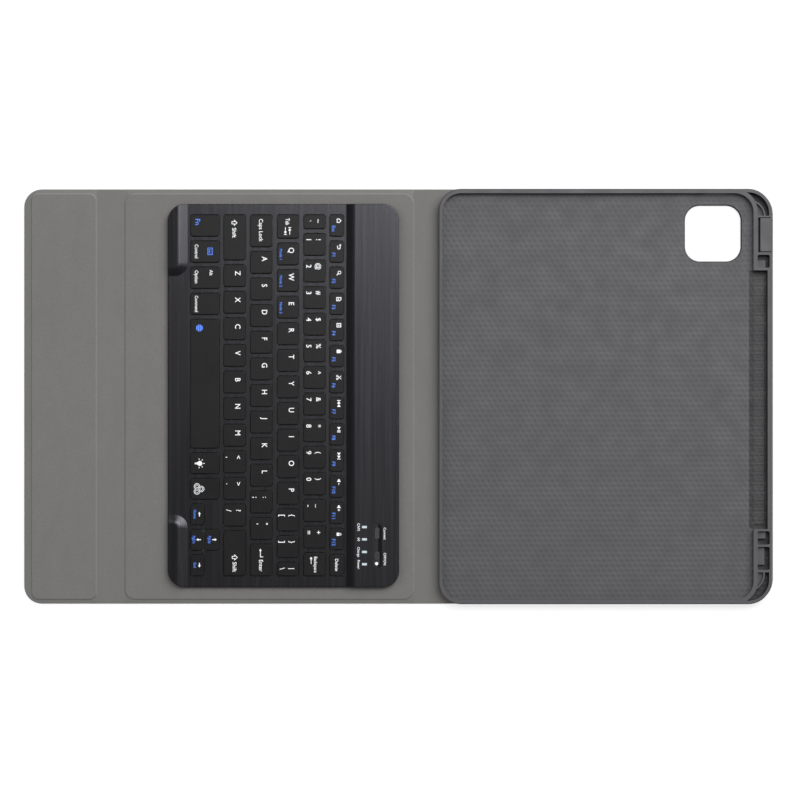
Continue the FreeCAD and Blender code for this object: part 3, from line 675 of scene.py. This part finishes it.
rib_count = round((RIB_Y[1] - RIB_Y[0]) / RIB_PITCH)
ribs = joined([rib(RIB_Y[0] + (i + 0.5) * RIB_PITCH) for i in range(rib_count)])
add_piece("stylus_slot_ribs", *ribs, materials["tray_plastic"], "tray_plastic", "back")


# ---- key legends and labels ----

# how far ink goes into a surface and stands out of it, and the gap between two keys
INK_SUNK = 0.02
INK_PROUD = 0.03
KEY_GAP = 3.3

# the font's added weight, the steps in its curves, and the limit on a bend's mitre
FONT_WEIGHT = 0.006
CURVE_STEPS = 3
MITRE_MIN = 0.4

# u, v and height of words, and u and v of pictures, that several keys share, where u and
# v are from a key's lower left corner as it reads
LETTER = (5.1, 9.85, 3.7)
BOTTOM_ROW_SHIFT = 0.8
UPPER = (4.3, 10.3, 3.3)
LOWER = (4.3, 3.6, 3.5)
SMALL_WORD = (8.0, 2.6, 1.8)
F_ICON = (4.1, 6.4)
F_WORD = (9.6, 2.8, 2.35)
ARROW_U = 7.0

glyph_cache = {}


def glyphs(text):
    """A word as flat faces at the font's own size, centred across."""
    if text not in glyph_cache:
        words = bpy.data.curves.new("words", "FONT")
        words.body = text
        words.align_x = "CENTER"
        words.resolution_u = CURVE_STEPS
        words.offset = FONT_WEIGHT
        holder = bpy.data.objects.new("words", words)
        scene.collection.objects.link(holder)
        mesh = bpy.data.meshes.new_from_object(
            holder.evaluated_get(bpy.context.evaluated_depsgraph_get()))
        bpy.data.objects.remove(holder)
        spots, index, lookup = [], {}, []
        for vert in mesh.vertices:
            spot = (round(vert.co.x, 5), round(vert.co.y, 5))
            if spot not in index:
                index[spot] = len(spots)
                spots.append(spot)
            lookup.append(index[spot])
        faces = []
        for face in mesh.polygons:
            corners = [lookup[i] for i in face.vertices]
            if len(set(corners)) == len(corners):
                faces.append(corners if face.normal.z > 0 else corners[::-1])
        bpy.data.meshes.remove(mesh)
        glyph_cache[text] = (spots, faces)
    return glyph_cache[text]


capital = glyphs("H")[0]
CAP_LOW = min(y for x, y in capital)
CAP_HIGH = max(y for x, y in capital)


def word(text, height, squeeze=1.0):
    """A word with capitals of the given height in mm, centred on their middle."""
    spots, faces = glyphs(text)
    size = height / (CAP_HIGH - CAP_LOW)
    middle = (CAP_LOW + CAP_HIGH) / 2
    return [([(x * size * squeeze, (y - middle) * size) for x, y in spots], faces)]


def stroke(points, width, closed=False):
    """A line of constant width through points, with mitred bends, as flat faces."""
    half = width / 2
    count = len(points)
    left, right = [], []
    for i, (x, y) in enumerate(points):
        before = points[i - 1] if closed or i > 0 else None
        after = points[(i + 1) % count] if closed or i < count - 1 else None
        ways = []
        for p, q in ((before, (x, y)), ((x, y), after)):
            if p and q:
                length = math.hypot(q[0] - p[0], q[1] - p[1])
                ways.append(((q[0] - p[0]) / length, (q[1] - p[1]) / length))
        tx = sum(w[0] for w in ways)
        ty = sum(w[1] for w in ways)
        length = math.hypot(tx, ty)
        tx, ty = tx / length, ty / length
        reach = half / max(tx * ways[0][0] + ty * ways[0][1], MITRE_MIN)
        left.append((x - ty * reach, y + tx * reach))
        right.append((x + ty * reach, y - tx * reach))
    faces = []
    for i in range(count if closed else count - 1):
        j = (i + 1) % count
        faces.append([count + i, count + j, j, i])
    return left + right, faces


def polygon(points):
    """One flat face, its corners put in anticlockwise order."""
    area = sum(x0 * y1 - x1 * y0 for (x0, y0), (x1, y1) in
               zip(points, points[1:] + points[:1]))
    order = list(range(len(points)))
    return list(points), [order if area > 0 else order[::-1]]


def block(x0, y0, x1, y1):
    return polygon([(x0, y0), (x1, y0), (x1, y1), (x0, y1)])


def circle(x, y, r, start=0.0, end=360.0, steps=20):
    """Points on a circle, or on an arc with both its ends."""
    full = end - start >= 360
    count = steps if full else steps + 1
    angles = [math.radians(start + (end - start) * i / steps) for i in range(count)]
    return [(x + r * math.cos(a), y + r * math.sin(a)) for a in angles]


def arrow(length, head, width):
    """A solid arrow that points to the right, centred."""
    x0, x1 = -length / 2, length / 2
    neck = x1 - head
    return [polygon([(x0, -width / 2), (neck, -width / 2), (neck, -head * 0.6), (x1, 0),
                     (neck, head * 0.6), (neck, width / 2), (x0, width / 2)])]


def turned(shapes, degrees):
    c, s = math.cos(math.radians(degrees)), math.sin(math.radians(degrees))
    return [([(x * c - y * s, x * s + y * c) for x, y in spots], faces)
            for spots, faces in shapes]


def shifted(shapes, dx, dy):
    return [([(x + dx, y + dy) for x, y in spots], faces) for spots, faces in shapes]


def triangle(x0, x1, half):
    """A triangle with its flat side at x0 and its tip at x1."""
    return polygon([(x0, -half), (x1, 0), (x0, half)])


def bar(x, half, width=0.45):
    return block(x, -half, x + width, half)


def outlined(width, x0, x1, y0, y1):
    return stroke([(x0, y0), (x1, y0), (x1, y1), (x0, y1)], width, True)


def icons():
    """The function row's pictures in mm, from the Esc key on."""
    speaker = [polygon([(-1.9, -0.6), (-1.2, -0.6), (-0.1, -1.4), (-0.1, 1.4), (-1.2, 0.6),
                        (-1.9, 0.6)])]
    minus = [block(0.6, -0.2, 2.0, 0.2)]
    plus = [polygon([(0.5, -0.2), (1.1, -0.2), (1.1, -0.8), (1.5, -0.8), (1.5, -0.2),
                     (2.1, -0.2), (2.1, 0.2), (1.5, 0.2), (1.5, 0.8), (1.1, 0.8),
                     (1.1, 0.2), (0.5, 0.2)])]
    home = [stroke([(-1.2, -1.2), (1.2, -1.2), (1.2, 0.3), (0, 1.4), (-1.2, 0.3)], 0.5,
                   True)]
    back = [stroke([(-1.0, 0.9)] + circle(0.6, 0, 0.9, 90, -90, 10) + [(-0.8, -0.9)], 0.5),
            polygon([(-2.0, 0.9), (-0.9, 0.1), (-0.9, 1.7)])]
    search = [stroke(circle(-0.3, 0.4, 1.0), 0.45, True),
              stroke([(0.55, -0.45), (1.5, -1.5)], 0.6)]
    page = [stroke([(-1.1, -1.5), (1.1, -1.5), (1.1, 0.6), (0.3, 1.5), (-1.1, 1.5)], 0.5,
                   True),
            polygon(circle(0, -0.3, 0.5, steps=12))]
    select = [outlined(0.55, -1.2, 1.2, -1.3, 1.3), polygon(circle(0, 0, 0.5, steps=12))]
    board = [block(-1.2, -1.5, 1.2, 1.1), block(-0.6, 1.3, 0.6, 1.8)]
    cut = [stroke([(-1.1, 1.6), (0.7, -0.6)], 0.45), stroke([(1.1, 1.6), (0.35, 0.68)], 0.45),
           stroke([(-0.1, 0.13), (-0.7, -0.6)], 0.45),
           stroke(circle(-1.0, -1.15, 0.55, steps=12), 0.35, True),
           stroke(circle(1.0, -1.15, 0.55, steps=12), 0.35, True)]
    previous = [bar(-2.4, 1.2), triangle(0.1, -1.8, 1.2), triangle(2.2, 0.3, 1.2)]
    play = [triangle(-1.9, 0.2, 1.2), bar(0.5, 1.2), bar(1.3, 1.2)]
    following = turned(previous, 180)
    lock = [block(-1.1, -1.5, 1.1, 0.2),
            stroke([(-0.65, 0.25), (-0.65, 0.9)] + circle(0, 0.9, 0.65, 165, 15, 8)
                   + [(0.65, 0.9), (0.65, 0.25)], 0.4)]
    return [home, back, search, page, select, board, cut, previous, play, following,
            speaker + minus, speaker + plus, lock]


def shift_arrow():
    return [stroke([(0, 1.9), (1.7, 0.1), (0.8, 0.1), (0.8, -1.6), (-0.8, -1.6), (-0.8, 0.1),
                    (-1.7, 0.1)], 0.42, True)]


def tab_arrows():
    """Two arrows, one above the other, each against a bar."""
    right = arrow(4.6, 1.7, 0.4)
    stop = [bar(0, 1.0)]
    upper = shifted(turned(right, 180), 0.3, 1.5) + shifted(stop, -2.6, 1.5)
    return upper + shifted(right, -0.3, -1.5) + shifted(stop, 2.15, -1.5)


def enter_arrow():
    return [stroke([(2.8, 1.5), (2.8, -0.4), (-1.4, -0.4)], 0.45),
            polygon([(-3.0, -0.4), (-1.3, -1.2), (-1.3, 0.4)])]


def bulb():
    """A lamp with rays."""
    glass = polygon(circle(0, 0.9, 1.65, -55, 235, 22) + [(-0.6, -1.6), (0.6, -1.6)])
    foot = polygon([(-0.5, -2.6), (0.5, -2.6), (0.6, -1.9), (-0.6, -1.9)])
    rays = []
    for degrees in (-10, 35, 90, 145, 190):
        c, s = math.cos(math.radians(degrees)), math.sin(math.radians(degrees))
        rays.append(stroke([(2.3 * c, 0.9 + 2.3 * s), (3.4 * c, 0.9 + 3.4 * s)], 0.4))
    return [glass, foot] + rays


def colour_rings():
    """Three double rings that overlap."""
    spots = [(0.0, 1.7), (-1.8, -1.3), (1.8, -1.3)]
    outer = [stroke(circle(x, y, 1.9, steps=28), 0.35, True) for x, y in spots]
    return outer + [stroke(circle(x, y, 1.0, steps=20), 0.3, True) for x, y in spots]


def globe():
    """A disc with lines left open: four bands between three bars."""
    bands = []
    for low, high in ((-2.3, -1.3), (-1.0, -0.15), (0.15, 1.0), (1.3, 2.3)):
        levels = [low + (high - low) * i / 4 for i in range(5)]
        edge = [(math.sqrt(max(2.4 ** 2 - y * y, 0.0)), y) for y in levels]
        bands.append(polygon(edge + [(-x, y) for x, y in reversed(edge)]))
    return bands


def board_icon():
    """A small keyboard: a frame with three keys and a long one."""
    keys = [block(x - 0.3, 0.35, x + 0.3, 0.85) for x in (-1.4, 0.0, 1.4)]
    long_key = block(-1.4, -0.9, 1.4, -0.35)
    return [outlined(0.4, -2.3, 2.3, -1.6, 1.6), long_key] + keys


def signal_icon():
    """A dot between two arcs."""
    return [polygon(circle(0, 0, 0.4, steps=10)),
            stroke(circle(0, 0, 1.0, -60, 60, 8), 0.3),
            stroke(circle(0, 0, 1.0, 120, 240, 8), 0.3)]


def mark(text, place, ink=white_ink, squeeze=1.0):
    """A word with its u, v and height."""
    u, v, height = place
    return (word(text, height, squeeze), u, v, ink)


def letter(text, shift=0.0):
    u, v, height = LETTER
    return [mark(text, (u + shift, v, height), squeeze=0.92)]


def pair(upper, lower):
    return [mark(upper, UPPER), mark(lower, LOWER)]


def function_keys():
    made = []
    for number, picture in enumerate(icons()):
        label = f"F{number}" if number else "Esc"
        made.append([(picture, *F_ICON, white_ink), mark(label, F_WORD, blue_ink)])
    return made + [[mark("Delete", (7.2, 4.9, 2.2))]]


def letters_with(text, small):
    """Letter keys of which the first ones also carry a small blue word."""
    keys = [letter(c) for c in text]
    for key, label in zip(keys, small):
        key.append(mark(label, SMALL_WORD, blue_ink))
    return keys


def arrow_key(degrees, label, v=6.2, gap=3.1):
    return [(turned(arrow(3.2, 1.5, 0.6), degrees), ARROW_U, v, white_ink),
            mark(label, (ARROW_U, v - gap, 1.9), blue_ink, 0.9)]


# for each key node, its keys from left to right, each a list of (shapes, u, v, ink)
legends = {
    "keys_function_row": function_keys(),
    "key_backtick": [pair("~", "`")],
    "keys_number_row": [pair(a, b) for a, b in zip("!@#$%^&*()_+", "1234567890-=")],
    "key_backspace": [[mark("Backspace", (8.1, 8.3, 2.2), squeeze=0.85),
                       (turned(arrow(5.0, 1.6, 0.4), 180), 5.2, 5.2, white_ink)]],
    "key_tab": [[mark("Tab", (4.7, 7.2, 2.7), squeeze=0.8),
                 (tab_arrows(), 11.2, 7.2, white_ink)]],
    "keys_letters_top": letters_with("QWERTYUIOP", ("Mode 1", "Mode 2", "Mode 3"))
    + [pair("{", "["), pair("}", "]")],
    "key_backslash": [pair("|", "\\")],
    "key_caps_lock": [[mark("Caps Lock", (10.6, 7.4, 2.7), squeeze=0.95)]],
    "keys_letters_home": [letter(c) for c in "ASDFGHJKL"] + [pair(":", ";"), pair('"', "'")],
    "key_enter": [[(enter_arrow(), 5.9, 7.4, white_ink),
                   mark("Enter", (14.6, 7.4, 2.7), squeeze=0.95)]],
    "key_shift_left": [[(shift_arrow(), 5.5, 7.4, white_ink),
                        mark("Shift", (12.4, 7.4, 2.7))]],
    "keys_letters_bottom": [letter(c, BOTTOM_ROW_SHIFT) for c in "ZXCVBNM"]
    + [pair("<", ","), pair(">", "."), pair("?", "/")],
    "key_shift_right": [[(shift_arrow(), 18.4, 7.6, white_ink),
                         mark("Shift", (24.9, 7.6, 2.7))]],
    "keys_modifiers_left": [
        [mark("Fn", (4.9, 5.0, 3.4), blue_ink)],
        [(board_icon(), 7.2, 13.6, blue_ink), mark("Control", (7.2, 4.2, 2.4), squeeze=0.87)],
        [mark("Alt", (3.9, 14.3, 2.2)), mark("Option", (6.8, 4.2, 2.4), squeeze=0.9)],
        [mark("Command", (7.4, 4.2, 2.2), squeeze=0.85)]],
    "key_space": [[(globe(), 6.0, 6.2, blue_ink)]],
    "key_backlight": [[(bulb(), 7.2, 5.6, white_ink)]],
    "key_colour": [[(colour_rings(), 7.2, 5.8, white_ink)]],
    "key_left": [arrow_key(180, "Home")],
    "key_down": [arrow_key(-90, "PgDn", v=5.6, gap=3.2)],
    "key_up": [arrow_key(90, "PgUp", v=6.9, gap=3.4)],
    "key_right": [arrow_key(0, "End")],
}


def print_on(name, ink, body, top, marks):
    """Lays marks, (shapes, x, y), on a surface at height top as thin solids in one piece."""
    solids = []
    for shapes, x, y in marks:
        for spots, faces in shapes:
            placed = [(x + v, y - u) for u, v in spots]
            solids.append(slab(placed, faces, top - INK_SUNK, top + INK_PROUD))
    add_piece(name, *joined(solids), ink, "key_plastic", body)


for node, keys in legends.items():
    x0, y0, _, _, y1, top = box_mm(node)
    pitch = (y1 - y0 + KEY_GAP) / len(keys)
    for ink, colour in ((white_ink, "white"), (blue_ink, "blue")):
        marks = [(shapes, x0 + v, y1 - number * pitch - u)
                 for number, key in enumerate(keys)
                 for shapes, u, v, used in key if used == ink]
        if marks:
            print_on(f"{node}_legends_{colour}", ink, f"{node}_body", top, marks)

case_x, _, _, _, _, case_top = box_mm("keyboard_top_case")

# two columns of labels on the hump, at the switches and at the indicator lights, and a round
# white dot on the slider of the power switch, which lies SWITCH_DEPTH below the hump: a
# painted highlight for the glint at the end of the switch's trough
SWITCH_LABEL_X = case_x + 150.2
LIGHT_LABEL_X = case_x + 132.1
LABEL = 1.65
CAPS_LABEL = 1.6
SWITCH_DEPTH = 1.65
GLINT_RADIUS = 1.1
GLINT_SPOT = (case_x + 144.5, -115.7)

print_on("case_labels_white", white_ink, "keyboard", case_top, [
    (word("Connect", LABEL), SWITCH_LABEL_X, -94.8),
    (word("OFF/ON", LABEL), SWITCH_LABEL_X, -112.4),
    (word("CAPS", CAPS_LABEL), LIGHT_LABEL_X, -90.3),
    (signal_icon(), LIGHT_LABEL_X, -98.8),
    (word("Charge", LABEL), LIGHT_LABEL_X, -107.5),
    (word("Power", LABEL), LIGHT_LABEL_X, -116.2),
])
# painted highlight: a white dot on the slider where a glint shows at the end of the trough
print_on("power_switch_painted_glint", white_ink, "power_switch_body", case_top - SWITCH_DEPTH,
         [([polygon(circle(0, 0, GLINT_RADIUS))], *GLINT_SPOT)])


# ---- floor, lights and camera ----

# the floor's half width, its gap to the case and where it fades out, in metres
FLOOR_REACH = 6.0
FLOOR_GAP = 0.0004
FADE_START = 0.42
FADE_END = 1.5

# how light and how dense the floor is, and the strength of the light from all round
FLOOR_WHITE = 0.9
FLOOR_ALPHA = 0.25
AMBIENT = 0.3
WHITE = (1.0, 1.0, 1.0, 1.0)

# what the camera shows, in mm: its middle and width at VIEW_Z above the table
VIEW_X = 1.0
VIEW_Y = -2.4
VIEW_Z = 5.0
VIEW_WIDTH = 554.0
SENSOR = 36.0
LENS = 150.0


def area_light(name, spot, size, power, mirrored=True):
    """A card of light at a spot in metres, that faces the middle of the case. Where it
    isn't mirrored, it lights without showing as a highlight."""
    data = bpy.data.lights.new(name, "AREA")
    data.shape = "RECTANGLE"
    data.size, data.size_y = size
    data.energy = power
    light = bpy.data.objects.new(name, data)
    scene.collection.objects.link(light)
    light.location = spot
    light.rotation_euler = (-Vector(spot)).to_track_quat("-Z", "Y").to_euler()
    light.visible_camera = False
    light.visible_glossy = mirrored


def make_floor():
    """A pale floor that lets what folds down below it show through, and that fades into
    the white all round, so that it has no edge."""
    mesh = bpy.data.meshes.new("floor")
    far = FLOOR_REACH
    mesh.from_pydata([(-far, -far, 0), (far, -far, 0), (far, far, 0), (-far, far, 0)], [],
                     [(0, 1, 2, 3)])
    paper = bpy.data.materials.new("pale_floor")
    paper.use_nodes = True
    shader = paper.node_tree.nodes["Principled BSDF"]
    shader.inputs["Base Color"].default_value = (FLOOR_WHITE,) * 3 + (1.0,)
    shader.inputs["Roughness"].default_value = 0.95
    shader.inputs["Specular IOR Level"].default_value = 0.0
    place = paper.node_tree.nodes.new("ShaderNodeTexCoord")
    away = paper.node_tree.nodes.new("ShaderNodeVectorMath")
    away.operation = "LENGTH"
    fade = paper.node_tree.nodes.new("ShaderNodeMapRange")
    for socket, value in (("From Min", FADE_START), ("From Max", FADE_END),
                          ("To Min", FLOOR_ALPHA), ("To Max", 0.0)):
        fade.inputs[socket].default_value = value
    links = paper.node_tree.links
    links.new(place.outputs["Object"], away.inputs[0])
    links.new(away.outputs["Value"], fade.inputs["Value"])
    links.new(fade.outputs["Result"], shader.inputs["Alpha"])
    mesh.materials.append(paper)
    floor = bpy.data.objects.new("floor", mesh)
    scene.collection.objects.link(floor)
    floor.location = (0, 0, -FLOOR_GAP)


def make_world():
    """White behind everything, and a weaker even light from all round."""
    world = bpy.data.worlds.new("studio")
    scene.world = world
    world.use_nodes = True
    nodes, links = world.node_tree.nodes, world.node_tree.links
    nodes.clear()
    seen = nodes.new("ShaderNodeBackground")
    seen.inputs["Strength"].default_value = 1.0
    seen.inputs["Color"].default_value = WHITE
    around = nodes.new("ShaderNodeBackground")
    around.inputs["Strength"].default_value = AMBIENT
    around.inputs["Color"].default_value = WHITE
    path = nodes.new("ShaderNodeLightPath")
    either = nodes.new("ShaderNodeMixShader")
    out = nodes.new("ShaderNodeOutputWorld")
    links.new(path.outputs["Is Camera Ray"], either.inputs["Fac"])
    links.new(around.outputs["Background"], either.inputs[1])
    links.new(seen.outputs["Background"], either.inputs[2])
    links.new(either.outputs["Shader"], out.inputs["Surface"])


def make_camera():
    """Straight down from far away, with the long side of the case across the picture."""
    data = bpy.data.cameras.new("camera")
    data.sensor_width = SENSOR
    data.lens = LENS
    camera = bpy.data.objects.new("camera", data)
    scene.collection.objects.link(camera)
    height = VIEW_WIDTH / SENSOR * LENS + VIEW_Z
    camera.location = (VIEW_X * MM, VIEW_Y * MM, height * MM)
    scene.camera = camera


make_floor()
make_world()
make_camera()
area_light("key_light", (0.9, 0.9, 1.6), (1.4, 1.4), 34.0)
area_light("top_card", (0.35, 0.75, 2.6), (0.9, 0.9), 27.0)
area_light("fill_card", (-0.9, 0.3, 1.4), (0.9, 1.3), 10.0, mirrored=False)
scene.view_settings.view_transform = "Standard"
